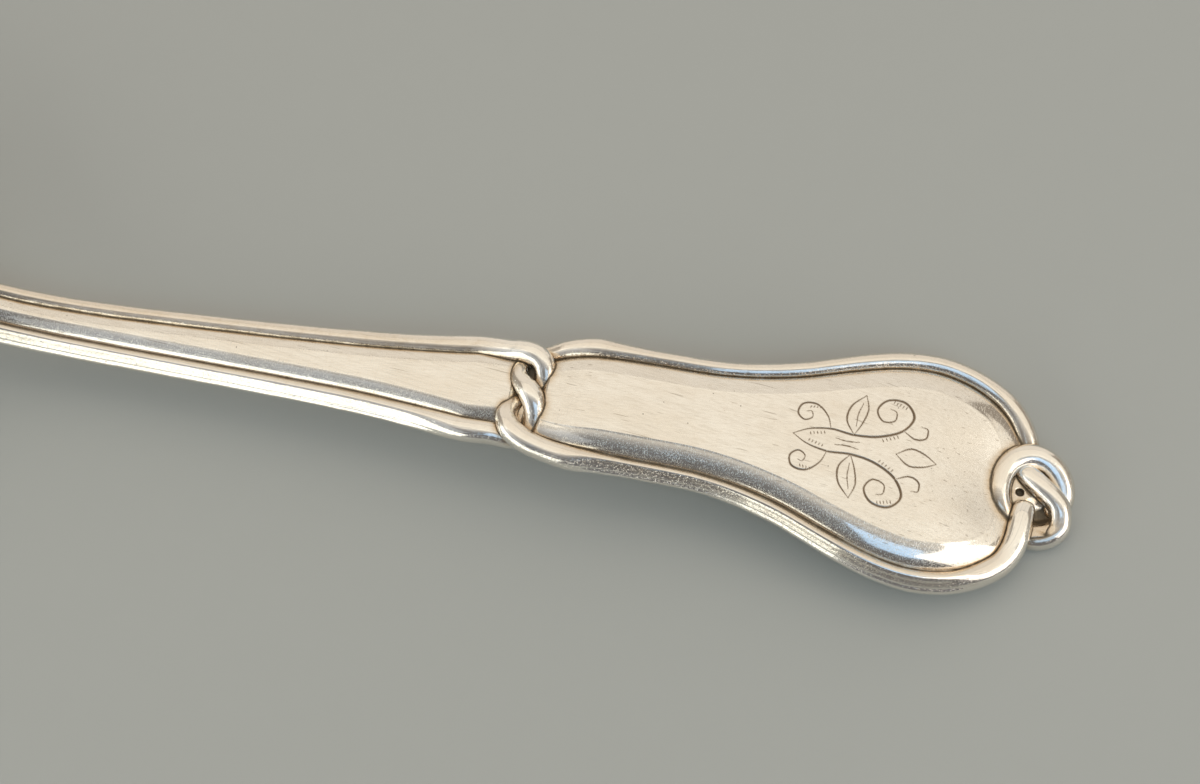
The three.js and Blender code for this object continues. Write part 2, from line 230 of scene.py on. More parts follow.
# Bowl. It is raised from one sheet of silver into a deep oval, pierced with leaves and round
# holes so that sugar falls through, and left plain in the middle, where it rests on the table.
BOWL_LENGTH = 54.0
BOWL_WIDTH = 46.0
BOWL_DEPTH = 15.6
BOWL_WALL = 1.1
BOWL_FLAT = 8.4
RIM_STEEPNESS = 0.8
PIERCED_EDGE = 0.14  # rounding of the sawn edges
BOWL_GRAIN = 0.62  # spacing of the mesh over the wall
SLOPE_STEP = 0.01  # half the distance between two points that give the wall's slope
RIM_POINTS = 220
RIM_ROWS = 6
HOLE_POINTS = 20
LEAF_POINTS = 40

bowl_radius = BOWL_WIDTH / 2
bowl_stretch = BOWL_LENGTH / BOWL_WIDTH
rim_reach = bowl_radius - 0.24 * BOWL_WALL  # here the wall ends and its rounded rim begins


def unit(vectors):
    """The same directions with a length of 1."""
    return vectors / np.linalg.norm(vectors, axis=-1, keepdims=True)


def bowl_height(radius):
    """Height of the bowl's outside at a distance from its middle, measured across the bowl."""
    flat = BOWL_FLAT / 2
    climb = np.clip((radius - flat) / (bowl_radius - flat), 0, 1)
    arc = 1 - np.sqrt(1 - RIM_STEEPNESS * climb**2)
    return BOWL_DEPTH * arc / (1 - math.sqrt(1 - RIM_STEEPNESS))


def on_bowl(plan, depth):
    """Points at a depth inside the bowl's outside. The plan is round and is drawn out to the oval."""
    plan = np.asarray(plan, float)

    def surface(p):
        heights = bowl_height(np.hypot(p[:, 0], p[:, 1]))
        return np.column_stack((p[:, 0] * bowl_stretch, p[:, 1], heights))

    along = surface(plan + (SLOPE_STEP, 0)) - surface(plan - (SLOPE_STEP, 0))
    across = surface(plan + (0, SLOPE_STEP)) - surface(plan - (0, SLOPE_STEP))
    return surface(plan) + unit(np.cross(along, across)) * np.reshape(depth, (-1, 1))


def hole_outline(count, reach=None):
    """A round hole of radius 1, or a leaf with pointed ends of half length 1 and half width reach."""
    turn = np.linspace(0, 2 * np.pi, count, endpoint=False)
    if reach is None:
        return np.column_stack((np.cos(turn), np.sin(turn)))
    along = np.cos(turn)
    return np.column_stack((along, np.sign(np.sin(turn)) * reach * (1 - along**2)))


def pierce(ring, angle, outline, grow):
    """Plan points of an outline laid on the wall with its first axis to the rim, and widened by grow."""
    middle = np.array([[ring * math.cos(angle), ring * math.sin(angle)]])
    steps = ((SLOPE_STEP, 0), (0, SLOPE_STEP))
    slopes = [(on_bowl(middle + d, 0) - on_bowl(middle - d, 0))[0] / (2 * SLOPE_STEP) for d in steps]
    slopes = np.column_stack(slopes)
    outward = unit(slopes @ (middle[0] / ring))
    normal = unit(np.cross(slopes[:, 0], slopes[:, 1]))
    across = np.cross(normal, outward)
    grown = outline + grow * unit(outline * (1, 2))
    flat = grown[:, :1] * outward + grown[:, 1:] * across
    return middle + flat @ np.linalg.pinv(slopes).T


ROUND_HOLES = [
    # holes in the ring, distance of the ring from the middle, diameter of a hole, turn of the ring
    (8, 6.4, 1.5, 0.5),
    (8, 13.0, 1.8, 0.5),
    (24, 17.0, 1.5, 0.5),
]
LEAVES = 8
LEAF_RING = 11.0
LEAF_LENGTH = 6.0
LEAF_WIDTH = 2.6

holes = []
for count, ring, diameter, turned in ROUND_HOLES:
    for i in range(count):
        holes.append((ring, (i + turned) * 2 * math.pi / count, hole_outline(HOLE_POINTS) * diameter / 2))
for i in range(LEAVES):
    leaf = hole_outline(LEAF_POINTS, LEAF_WIDTH / LEAF_LENGTH) * LEAF_LENGTH / 2
    holes.append((LEAF_RING, i * 2 * math.pi / LEAVES, leaf))

# Plan of the wall: rings of points outside the holes, the holes' edges and the rim, in triangles
hole_loops = [pierce(*hole, PIERCED_EDGE) for hole in holes]
rim_turn = np.linspace(0, 2 * np.pi, RIM_POINTS, endpoint=False)
rim_loop = rim_reach * np.column_stack((np.cos(rim_turn), np.sin(rim_turn)))
inner = [np.zeros((1, 2))]
for ring in np.arange(BOWL_GRAIN, rim_reach - 0.3 * BOWL_GRAIN, BOWL_GRAIN):
    turn = np.linspace(0, 2 * np.pi, max(6, round(2 * np.pi * ring / BOWL_GRAIN)), endpoint=False)
    inner.append(ring * np.column_stack((np.cos(turn), np.sin(turn))))
inner = np.concatenate(inner)
for ring, angle, outline in holes:
    middle = ring * np.array([math.cos(angle), math.sin(angle)])
    clear = pierce(ring, angle, outline, PIERCED_EDGE + 0.35 * BOWL_GRAIN) - middle
    edge_bearing = np.arctan2(clear[:, 1], clear[:, 0])
    edge_distance = np.hypot(clear[:, 0], clear[:, 1])
    offset = inner - middle
    bearing = np.arctan2(offset[:, 1], offset[:, 0])
    distance = np.hypot(offset[:, 0], offset[:, 1])
    inner = inner[distance >= np.interp(bearing, edge_bearing, edge_distance, period=2 * np.pi)]

loops = [rim_loop, *hole_loops]
plan = np.concatenate([*loops, inner])
loop_of = np.full(len(plan), -1)
loop_edges = []
start = 0
for index, loop in enumerate(loops):
    loop_of[start : start + len(loop)] = index
    loop_edges += [(start + i, start + (i + 1) % len(loop)) for i in range(len(loop))]
    start += len(loop)
flat_points = [Vector(p) for p in plan]
_, _, cells, sources, _, _ = geometry.delaunay_2d_cdt(flat_points, loop_edges, [], 0, 1e-6)
triangles = np.array([[sources[v][0] for v in cell] for cell in cells])
corner_loops = loop_of[triangles]
inside_hole = (corner_loops[:, 0] > 0) & (corner_loops == corner_loops[:, :1]).all(1)
triangles = triangles[~inside_hole]
first, second, third = plan[triangles].transpose(1, 0, 2)
turning = np.cross(second - first, third - first)
triangles[turning < 0] = triangles[turning < 0][:, ::-1]


def strip(first, second, count, closed=True):
    """Quads between two rows of count points that start at the indices first and second."""
    last = count if closed else count - 1
    return [
        (first + i, first + (i + 1) % count, second + (i + 1) % count, second + i) for i in range(last)
    ]


bowl_points = [on_bowl(plan, 0), on_bowl(plan, BOWL_WALL)]
bowl_faces = [tuple(t[::-1]) for t in triangles] + [tuple(t + len(plan)) for t in triangles]
made = 2 * len(plan)
start = len(rim_loop)
for hole, loop in zip(holes, hole_loops):
    wall_loop = pierce(*hole, 0)
    bowl_points += [on_bowl(wall_loop, PIERCED_EDGE), on_bowl(wall_loop, BOWL_WALL - PIERCED_EDGE)]
    size = len(loop)
    bowl_faces += strip(made, start, size)
    bowl_faces += strip(made + size, made, size)
    bowl_faces += strip(start + len(plan), made + size, size)
    made += 2 * size
    start += size
rim_outside = on_bowl(rim_loop, 0)
rim_inside = on_bowl(rim_loop, BOWL_WALL)
rim_onward = unit(rim_outside - on_bowl(rim_loop * 0.995, 0))
previous = 0
for i in range(1, RIM_ROWS):
    bend = math.pi * i / RIM_ROWS
    across = 0.5 * (1 - math.cos(bend))
    row = rim_outside * (1 - across) + rim_inside * across
    row += rim_onward * 0.5 * BOWL_WALL * math.sin(bend)
    row[:, 2] = np.minimum(row[:, 2], BOWL_DEPTH)
    bowl_points.append(row)
    bowl_faces += strip(previous, made, RIM_POINTS)
    previous = made
    made += RIM_POINTS
bowl_faces += strip(previous, len(plan), RIM_POINTS)


def new_piece(name, points, faces, material, node, slot, **fields):
    """A smooth mesh in a CAD node's place. Points are in millimetres; fields are values at points."""
    mesh = bpy.data.meshes.new(name)
    mesh.from_pydata((np.asarray(points) * MM).tolist(), [], [tuple(int(v) for v in f) for f in faces])
    mesh.validate()
    mesh.shade_smooth()
    mesh.materials.append(material)
    for key, values in fields.items():
        values = np.asarray(values, np.float32)
        if values.ndim == 1:
            mesh.attributes.new(key, "FLOAT", "POINT").data.foreach_set("value", values)
        else:
            mesh.attributes.new(key, "FLOAT_VECTOR", "POINT").data.foreach_set("vector", values.ravel())
    piece = bpy.data.objects.new(name, mesh)
    bpy.context.scene.collection.objects.link(piece)
    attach(piece, "root")
    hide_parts(node)
    return piece


BRIGHT_SILVER = (0.945, 0.905, 0.84, 1)
WARM_SILVER = (0.90, 0.84, 0.755, 1)
BROWN_TARNISH = (0.11, 0.075, 0.04, 1)
BLACK_TARNISH = (0.02, 0.015, 0.01, 1)
DULL_SILVER = (0.70, 0.645, 0.57, 1)
# brown of the painted shade beside joints, mixed with that of a thin tarnished film
SHADE_AND_HAZE_BROWN = (0.56, 0.40, 0.23, 1)
CUT_BROWN = (0.13, 0.078, 0.034, 1)
KNOCKS_BEGIN = (72.0, 80.0)  # along a wire: the knocks grow thick past the waist
KNOCKS_EBB = (96.0, 110.0)  # and thin out again where the terminal flares


def silver(name, polish, run, scratch_depth, brushed, speckled):
    """Used silver: warm clouds, fine scratches along run, pits, tarnishing and painted shade at joints.

    polish is the roughness of the clean metal. run names the field that gives a point's place with
    its first axis along the scratches, or is None where the piece's own X lies along them. brushed is
    the strength of the long fine marks of the polishing wheel, and speckled that of small bright knocks.
    A piece may have the fields roll, which marks edges that are rubbed bright, and cut, which marks
    engraved lines. A third field is 1 where another piece touches it and falls with distance: near 1 it
    gives brown and black tarnishing, and further out a soft brown that is painted shade beside the joint.
    """
    material, shader, shade = new_material(name)

    def field(key, output=2):
        """A value stored at the points of the mesh, or a place where output is 1."""
        return shade.node("ShaderNodeAttribute", {"attribute_name": key}, output=output)

    if run:
        place = field(run, 1)
    else:
        millimetres = {"operation": "SCALE"}
        own = shade.node("ShaderNodeTexCoord", output=3)
        place = shade.node("ShaderNodeVectorMath", millimetres, {0: own, "Scale": 1 / MM})

    def stretched(x, y, z, of=place):
        return shade.node("ShaderNodeVectorMath", {"operation": "MULTIPLY"}, {0: of, 1: (x, y, z)})

    def noise(vector, scale, detail, roughness=0.55):
        sockets = {"Vector": vector, "Scale": scale, "Detail": detail, "Roughness": roughness}
        return shade.node("ShaderNodeTexNoise", None, sockets)

    def turned(angle):
        settings = {"rotation_type": "Z_AXIS"}
        return shade.node("ShaderNodeVectorRotate", settings, {"Vector": place, "Angle": angle})

    clouds = noise(stretched(0.10, 0.30, 0.30), 1.0, 4.0)
    mottle = noise(place, 1.7, 5.0, 0.65)
    hairlines = noise(stretched(0.2, 8.0, 8.0), 1.0, 2.0)
    fine_hairlines = noise(stretched(0.7, 24.0, 24.0), 1.0, 2.0)
    cross_scratches = noise(stretched(15.0, 0.8, 15.0), 1.0, 1.0)
    scratches = hairlines.between(0.60, 0.72) + 0.6 * fine_hairlines.between(0.60, 0.70)
    scratches = scratches + 0.5 * cross_scratches.between(0.60, 0.70)
    dots = shade.node("ShaderNodeTexVoronoi", None, {"Vector": place, "Scale": 0.62})
    pits = 1 - dots.between(0.025, 0.06)
    grain = noise(place, 7.0, 2.0)
    wheel_marks = sum(
        noise(stretched(0.25, finest, finest, turned(angle)), 1.0, 3.0).between(0.40, 0.72)
        for angle, finest in ((0.16, 5.0), (-0.10, 11.0))
    )
    normal = shade.node("ShaderNodeNewGeometry", output=1)
    upright = shade.node("ShaderNodeSeparateXYZ", None, {"Vector": normal}, output=2)
    ahead = shade.node("ShaderNodeSeparateXYZ", None, {"Vector": place})
    knocks = noise(place, 4.5, 1.0).between(0.57, 0.65) * (1 - upright.between(0.75, 0.92))
    knocks = knocks * (0.25 + 0.75 * ahead.between(*KNOCKS_BEGIN))
    knocks = knocks * (1 - 0.7 * ahead.between(*KNOCKS_EBB))
    scores = noise(stretched(0.11, 5.0, 5.0, turned(0.10)), 1.0, 0.0).between(0.76, 0.82)
    rubbed = field("roll")

    # nearness to a joint: it sets the tarnished contact lines and the painted shade beside them
    grime_and_shade = field("tarnish")
    breakup = noise(stretched(0.6, 1.6, 1.6), 1.3, 5.0, 0.7)
    joint = ((grime_and_shade - 0.75) / 0.25).clamped()
    brown = (joint * (0.35 + 1.3 * breakup)).between(0.28, 0.72)
    black = (joint * (0.3 + 1.2 * mottle)).between(0.52, 0.95)
    # painted shade: soft brown darkening within reach of a joint, which also stands for a thin tarnished
    # film
    shade_and_haze = (grime_and_shade * grime_and_shade * (0.15 + 1.8 * breakup)).clamped() * 0.85

    clean = clouds.between(0.35, 0.68).tint(BRIGHT_SILVER, WARM_SILVER)
    worn = (brushed * (0.36 * wheel_marks + 0.14 * grain.between(0.45, 0.7))).tint(clean, DULL_SILVER)
    scored = (0.4 * brushed * scores).tint(worn, CUT_BROWN)
    toned = (shade_and_haze + 0.10 * mottle.between(0.5, 0.75)).clamped().tint(scored, SHADE_AND_HAZE_BROWN)
    browned = (0.75 * brown).tint(toned, BROWN_TARNISH)
    blackened = (0.7 * black).tint(browned, BLACK_TARNISH)
    pitted = (0.7 * pits).tint(blackened, BROWN_TARNISH)
    cut = field("cut")
    colour = (0.92 * cut).tint(pitted, CUT_BROWN)

    wear = polish * (0.75 + 0.5 * clouds) * (1 - 0.7 * rubbed) + 0.10 * scratches + 0.05 * mottle
    wear = wear + 0.3 * rubbed * cross_scratches.between(0.54, 0.66)
    roughness = (wear + 0.3 * brown + 0.2 * pits).clamped()
    metallic = (1 - 0.35 * brown - 0.3 * black).clamped()
    height = mottle * 0.35 + grain * 0.3 - scratches * 0.5 - pits * 1.5 + 3.4 * speckled * knocks
    relief = {"Strength": 1.0, "Distance": scratch_depth * MM, "Height": height}
    bump = shade.node("ShaderNodeBump", None, relief)
    dress(shader, Base_Color=colour, Roughness=roughness, Metallic=metallic, Normal=bump)
    return material


bowl_silver = silver("bowl_silver", 0.17, None, 0.004, 0.4, 0.1)
bowl_points = np.concatenate(bowl_points)
bowl = new_piece("pierced_bowl", bowl_points, bowl_faces, bowl_silver, "bowl", "bowl_silver")


# Border wires. Two drawn silver wires edge the stem. At the waist they twist round each other
# and change sides, then they edge the terminal and run into the knot at its tip.
STEM_LENGTH = 73.0
TERMINAL_LENGTH = 48.7
STEM_WIDTH = 6.4
WAIST_WIDTH = 11.25
NECK_WIDTH = 13.4
TERMINAL_WIDTH = 23.9
STEM_NARROW_AT = 18.0
NECK_AT = 13.0
WIDEST_AT = 38.4
RIM_DROP = 2.0
SAG_HEIGHT = 7.2
SAG_AT = 32.0
WAIST_HEIGHT = 8.0
CROWN_HEIGHT = 8.15
CROWN_AT = 9.0
BEND_HEIGHT = 5.6
BEND_AT = 32.0
KNOT_HEIGHT = 1.63
KNOT_DROP = 0.85
STEM_WIRE = 2.15
NECK_WIRE = 1.85
TWIST_WIRE = 2.4
TERMINAL_WIRE = 2.15
KNOT_WIRE = 2.3
TWIST_LEAD = 5.8  # from the place where the wires leave the stem's edge to the waist
TWIST_TAIL = 5.5  # from the waist to the place where they reach the terminal's edge
KNOT_LEAD = 4.1  # from the place where they leave that edge to the knot
ROUTE_POINTS = 20  # guides of a wire along the stem, and again along the terminal
WIRE_SIDES = 80
WIRE_STEP = 0.22  # spacing of the mesh along a wire

rim_x = BOWL_LENGTH / 2
waist_x = rim_x + STEM_LENGTH
knot_x = waist_x + TERMINAL_LENGTH
stem_end = waist_x - TWIST_LEAD
terminal_start = waist_x + TWIST_TAIL
terminal_end = knot_x - KNOT_LEAD
UP = np.array([0.0, 0.0, 1.0])


def smooth(*points):
    """A smooth function of x through points of (x, value), with straight ends."""
    xs, values = np.array(points, float).T
    slopes = np.empty(len(xs))
    slopes[1:-1] = (values[2:] - values[:-2]) / (xs[2:] - xs[:-2])
    slopes[0] = 1.5 * (values[1] - values[0]) / (xs[1] - xs[0]) - 0.5 * slopes[1]
    slopes[-1] = 1.5 * (values[-1] - values[-2]) / (xs[-1] - xs[-2]) - 0.5 * slopes[-2]

    def at(x):
        x = np.clip(x, xs[0], xs[-1])
        i = np.clip(np.searchsorted(xs, x, side="right") - 1, 0, len(xs) - 2)
        span = xs[i + 1] - xs[i]
        t = (x - xs[i]) / span
        leave = (1 + 2 * t) * (1 - t) ** 2 * values[i] + t * (1 - t) ** 2 * span * slopes[i]
        arrive = t**2 * (3 - 2 * t) * values[i + 1] + t**2 * (t - 1) * span * slopes[i + 1]
        return leave + arrive

    return at


rim_height = BOWL_DEPTH - RIM_DROP
handle_height = smooth(
    (rim_x, rim_height),
    (rim_x + 0.28 * SAG_AT, SAG_HEIGHT + 0.56 * (rim_height - SAG_HEIGHT)),
    (rim_x + 0.58 * SAG_AT, SAG_HEIGHT + 0.12 * (rim_height - SAG_HEIGHT)),
    (rim_x + SAG_AT, SAG_HEIGHT),
    (waist_x, WAIST_HEIGHT),
    (waist_x + CROWN_AT, CROWN_HEIGHT),
    (waist_x + BEND_AT, BEND_HEIGHT),
    (knot_x, KNOT_HEIGHT),
    (knot_x + 3.8, KNOT_HEIGHT - KNOT_DROP),
)
stem_narrow = (STEM_WIDTH - STEM_WIRE) / 2
waist_half = (WAIST_WIDTH - TWIST_WIRE) / 2
stem_half = smooth(
    (rim_x - 4, stem_narrow),
    (rim_x + STEM_NARROW_AT, stem_narrow),
    (waist_x - 0.55 * STEM_LENGTH, 0.86 * stem_narrow + 0.14 * waist_half),
    (waist_x - 0.24 * STEM_LENGTH, 0.48 * stem_narrow + 0.52 * waist_half),
    (stem_end, waist_half),
)
# The stem leans a little to the left
stem_lean = smooth((rim_x + 3, 0), (rim_x + 23, 0.15), (waist_x - 20, 0.15), (waist_x - 7, 0))
neck_half = (NECK_WIDTH - NECK_WIRE) / 2
widest_half = (TERMINAL_WIDTH - TERMINAL_WIRE) / 2
terminal_half = smooth(
    (terminal_start, neck_half),
    (waist_x + NECK_AT, neck_half),
    (waist_x + 18, 1.02 * neck_half),
    (waist_x + 22, 1.12 * neck_half),
    (waist_x + 26, 0.69 * widest_half),
    (waist_x + 30, 0.825 * widest_half),
    (waist_x + 34, 0.945 * widest_half),
    (waist_x + WIDEST_AT - 0.9, widest_half),
    (waist_x + 40.2, 0.985 * widest_half),
    (waist_x + 42.6, 0.925 * widest_half),
    (waist_x + 44.6, 0.83 * widest_half),
    (waist_x + 45.3, 0.785 * widest_half),
)
wire_width = smooth(
    (rim_x, STEM_WIRE),
    (waist_x - 30, STEM_WIRE),
    (waist_x - 4, TWIST_WIRE),
    (waist_x + 4, TWIST_WIRE),
    (waist_x + NECK_AT, NECK_WIRE),
    (waist_x + WIDEST_AT, TERMINAL_WIRE),
    (knot_x - 1, KNOT_WIRE),
)
wire_depth = smooth(
    (rim_x, 3.5),
    (rim_x + 0.5 * STEM_LENGTH, 2.35),
    (waist_x - 8, 2.1),
    (waist_x - 3, TWIST_WIRE),
    (waist_x + 3, TWIST_WIRE),
    (waist_x + NECK_AT, 2.15),
    (waist_x + WIDEST_AT, 2.64),
    (knot_x - 4, 2.6),
    (knot_x - 1, KNOT_WIRE),
)


def spline(points, step):
    """Points at steps along a smooth curve. It is centripetal, which keeps tight bends free of kinks.

    The first three values of a point are its place. The curve carries any others along.
    """
    points = np.array(points, float)
    before = 2 * points[0] - points[1]
    after = 2 * points[-1] - points[-2]
    guides = np.vstack((before, points, after))
    pieces = []
    for i in range(1, len(guides) - 2):
        p = guides[i - 1 : i + 3]
        gaps = np.sqrt(np.linalg.norm(np.diff(p[:, :3], axis=0), axis=1))
        leave = (p[1] - p[0]) / gaps[0] - (p[2] - p[0]) / (gaps[0] + gaps[1]) + (p[2] - p[1]) / gaps[1]
        arrive = (p[2] - p[1]) / gaps[1] - (p[3] - p[1]) / (gaps[1] + gaps[2]) + (p[3] - p[2]) / gaps[2]
        count = max(2, math.ceil(gaps[1] ** 2 / step))
        t = np.linspace(0, 1, count, endpoint=False)[:, None]
        curve = (1 + 2 * t) * (1 - t) ** 2 * p[1] + t**2 * (3 - 2 * t) * p[2]
        pieces.append(curve + gaps[1] * (t * (1 - t) ** 2 * leave + t**2 * (t - 1) * arrive))
    return np.vstack((*pieces, points[-1:]))


def soft_step(low, high, x):
    """0 where x is at low or past it, 1 at high or past it, and a smooth step between."""
    t = np.clip((x - low) / (high - low), 0, 1)
    return t * t * (3 - 2 * t)


# Section of a wire away from the twist and the knot: a ridge with a steep outer face. Points go
# out and up, in shares of the wire's half width and half depth
RIDGE = [
    (1.0, 0.0),
    (0.71, 0.32),
    (0.42, 0.63),
    (0.13, 0.925),
    (-0.10, 1.0),
    (-0.38, 0.86),
    (-0.60, 0.66),
    (-0.81, 0.42),
    (-1.0, 0.09),
    (-0.95, -0.40),
    (-0.67, -0.83),
    (-0.19, -1.0),
    (0.29, -0.95),
    (0.71, -0.74),
    (0.95, -0.40),
]
OVAL_POWER = 2.25  # section in the twist and the knot: 2 would be an ellipse, and more is fuller
FAR_RIDGE = 0.25  # the wires on the far side are worn rounder
SEAM_TURN = math.radians(21)  # a fine line runs along the outer face
SEAM_SPREAD = math.radians(3)
SEAM_DEPTH = 0.035

ridge_line = spline(RIDGE[-2:] + RIDGE + RIDGE[:2], 0.02)
ridge_turn = np.arctan2(ridge_line[:, 1], ridge_line[:, 0])
ridge_order = np.argsort(ridge_turn)
ridge_turn = ridge_turn[ridge_order]
ridge_reach = np.hypot(ridge_line[:, 0], ridge_line[:, 1])[ridge_order]


def tube_faces(rows, sides):
    """Faces of a closed tube that has rows of points round it."""
    faces = []
    for i in range(rows - 1):
        faces += strip(i * sides, (i + 1) * sides, sides)
    last = (rows - 1) * sides
    return [*faces, tuple(range(sides))[::-1], tuple(range(last, last + sides))]


def wire_mesh(stations, step):
    """Points, faces and straightened places of a wire with round ends.

    A station is a place ahead and aside, a lift over the handle's middle, and the wire's width and
    depth. step is the spacing of the mesh along the wire.
    """
    stations = np.array(stations, float)
    stations[:, 2] += handle_height(stations[:, 0])
    course = spline(stations, step)
    middles = course[:, :3]
    half_width, half_depth = course[:, 3:].T / 2
    along = unit(np.gradient(middles, axis=0))
    across = unit(np.cross(UP, along))
    over = np.cross(along, across)
    run = np.concatenate(([0], np.cumsum(np.linalg.norm(np.diff(middles, axis=0), axis=1))))
    # a wire that is filed by hand wavers a little in its thickness
    wobble = 0.010 * np.sin(0.7 * run) + 0.005 * np.sin(1.7 * run + 1)

    dome = np.radians((80, 60, 40, 20))
    scale = np.concatenate((np.cos(dome), np.ones(len(middles)), np.cos(dome[::-1])))
    push = np.concatenate((-np.sin(dome), np.zeros(len(middles)), np.sin(dome[::-1])))
    first = np.zeros(len(dome), int)
    rows = np.concatenate((first, np.arange(len(middles)), first + len(middles) - 1))

    turn = np.linspace(0, 2 * np.pi, WIRE_SIDES, endpoint=False)
    outward = np.where(middles[rows, 1:2] > 0, turn, np.pi - turn)
    from_seam = (outward - SEAM_TURN + np.pi) % (2 * np.pi) - np.pi
    seam = SEAM_DEPTH * np.exp(-((from_seam / SEAM_SPREAD) ** 2))
    ridged = np.interp(outward, ridge_turn, ridge_reach, period=2 * np.pi) - seam
    # the ridge turns into a plain oval in the twist and the knot
    ahead = middles[rows, :1]
    on_stem = soft_step(waist_x - 4, waist_x - 13, ahead)
    on_terminal = soft_step(waist_x + 4, waist_x + 10, ahead) * soft_step(knot_x - 3, knot_x - 7, ahead)
    ridge_share = (on_stem + on_terminal) * np.where(middles[rows, 1:2] < 0, 1, FAR_RIDGE)
    oval = np.abs(np.cos(turn)) ** OVAL_POWER + np.abs(np.sin(turn)) ** OVAL_POWER
    oval = oval ** (-1 / OVAL_POWER)
    section = (oval + ridge_share * (ridged - oval)) * scale[:, None]
    side = section * (half_width + wobble)[rows][:, None] * np.cos(turn)
    rise = section * (half_depth + wobble)[rows][:, None] * np.sin(turn)
    reach = (push * np.minimum(half_width, half_depth)[rows])[:, None]
    points = (
        middles[rows][:, None, :]
        + along[rows][:, None, :] * reach[:, :, None]
        + across[rows][:, None, :] * side[:, :, None]
        + over[rows][:, None, :] * rise[:, :, None]
    )
    straight = np.stack(np.broadcast_arrays(run[rows][:, None] + reach, side, rise), axis=2)
    return points.reshape(-1, 3), tube_faces(len(rows), WIRE_SIDES), straight.reshape(-1, 3)


# Stations of the two wires in the twist: ahead of the waist, aside from the handle's middle, over it,
# and the wire's width, which is drawn thinner where it dives
LEFT_TWIST = [
    (-2.9, 4.34, 0.35, 2.25),
    (-1.6, 4.3, 0.65, 2.25),
    (-0.5, 4.12, 0.85, 2.25),
    (0.4, 3.75, 0.8, 2.2),
    (1.0, 3.1, 0.6, 2.15),
    (1.22, 2.3, 0.3, 2.05),
    (1.1, 1.55, -0.15, 1.95),
    (0.6, 0.8, -0.65, 1.9),
    (0.0, 0.1, -0.85, 1.9),
    (-0.7, -0.5, -0.7, 1.85),
    (-1.22, -1.0, -0.25, 1.85),
    (-1.55, -1.7, 0.15, 1.9),
    (-1.58, -2.5, 0.5, 2.05),
    (-1.2, -3.4, 0.75, 2.2),
    (-0.5, -4.2, 0.85, 2.3),
    (0.8, -4.95, 0.75, 2.3),
    (2.8, -5.45, 0.35, 2.2),
]
RIGHT_TWIST = [
    (-2.9, -4.3, -0.3, 2.2),
    (-1.1, -4.2, -0.85, 2.2),
    (0.2, -3.8, -0.85, 2.15),
    (0.9, -3.2, -0.5, 2.1),
    (1.15, -2.4, 0.0, 2.1),
    (1.1, -1.5, 0.45, 2.25),
    (0.75, -0.65, 0.8, 2.35),
    (0.2, 0.05, 0.95, 2.25),
    (-0.45, 0.7, 0.85, 2.05),
    (-1.08, 1.4, 0.6, 1.85),
    (-1.38, 2.25, 0.3, 1.75),
    (-1.3, 3.05, -0.1, 1.75),
    (-0.85, 3.8, -0.6, 1.8),
    (0.0, 4.4, -0.9, 1.95),
    (1.2, 4.85, -0.75, 2.1),
    (2.8, 5.4, -0.3, 2.1),
]
# The left-hand wire's end goes over the knot's loop and into its eye; the right-hand one goes under
LEFT_END = [
    (-2.15, -7.4, 0.15),
    (-1.35, -6.05, 0.35),
    (-0.95, -4.75, 0.6),
    (-0.8, -3.3, 0.72),
    (-0.75, -2.4, 0.65),
    (-0.7, -1.8, 0.5),
]
RIGHT_END = [(-2.64, 7.76, 0.0), (-1.84, 6.62, -0.1), (-1.32, 5.58, -0.3), (-0.95, 4.4, -0.6)]
WIRE_START = rim_x - 0.8  # inside the bowl's wall


def border_route(side, twist, end):
    """Stations of one wire from the bowl to the knot. side is 1 for the one on the stem's left."""
    stem_xs = np.linspace(WIRE_START, stem_end, ROUTE_POINTS)
    terminal_xs = np.linspace(terminal_start, terminal_end, ROUTE_POINTS)
    route = [(x, side * stem_half(x) + stem_lean(x), 0, wire_width(x), wire_depth(x)) for x in stem_xs]
    route += [(waist_x + ahead, aside, lift, width, width) for ahead, aside, lift, width in twist]
    route += [(x, -side * terminal_half(x), 0, wire_width(x), wire_depth(x)) for x in terminal_xs]
    for ahead, aside, lift in end:
        x = knot_x + ahead
        route.append((x, aside, lift, wire_width(x), wire_depth(x)))
    return route


wire_silver = silver("wire_silver", 0.09, "straight", 0.006, 0.2, 1.5)
routes = {
    "left": border_route(1, LEFT_TWIST, LEFT_END),
    "right": border_route(-1, RIGHT_TWIST, RIGHT_END),
}
wires = []
for name, route in routes.items():
    points, faces, straight = wire_mesh(route, WIRE_STEP)
    node = f"border_wire_{name}"
    wire = new_piece(f"{name}_wire", points, faces, wire_silver, node, "wire_silver", straight=straight)
    wires.append(wire)


